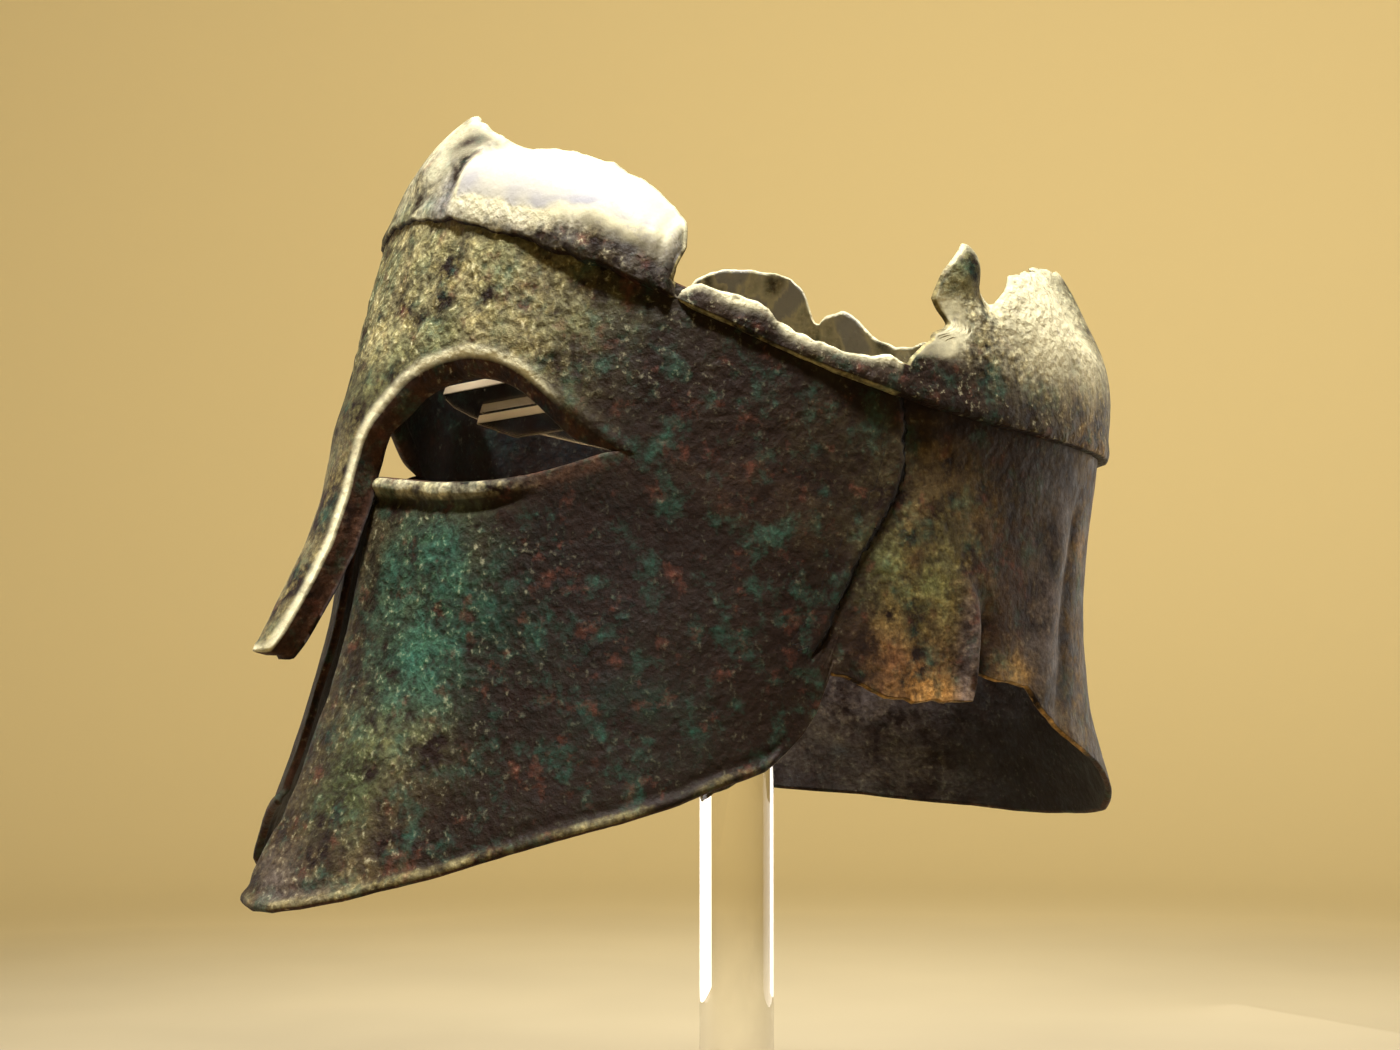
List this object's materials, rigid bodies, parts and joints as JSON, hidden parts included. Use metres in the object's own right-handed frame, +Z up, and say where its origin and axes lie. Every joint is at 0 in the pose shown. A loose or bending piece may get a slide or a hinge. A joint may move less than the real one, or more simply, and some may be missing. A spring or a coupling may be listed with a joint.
{
  "type": "corinthian helmet on a display stand",
  "caption": "Ancient Corinthian helmet of corroded bronze with its crown broken open, held on a clear acrylic rod stand.",
  "frame": {"origin": "centre of the foot plate's underside, under the rod, on the table", "axes": "+Z up, -Y towards where the helmet faces, +X towards the wearer's left"},
  "size_m": [0.1914, 0.2691, 0.304],
  "materials": {
    "corroded_bronze": "green and brown corrosion crust, rough, with rubbed golden high spots",
    "clear_acrylic": "polished clear acrylic"
  },
  "bodies": {
    "root": {"helmet_shell": "corroded_bronze", "support_plate": "clear_acrylic", "support_bar": "clear_acrylic", "stand_base": "clear_acrylic", "stand_post": "clear_acrylic"}
  },
  "joints": []
}
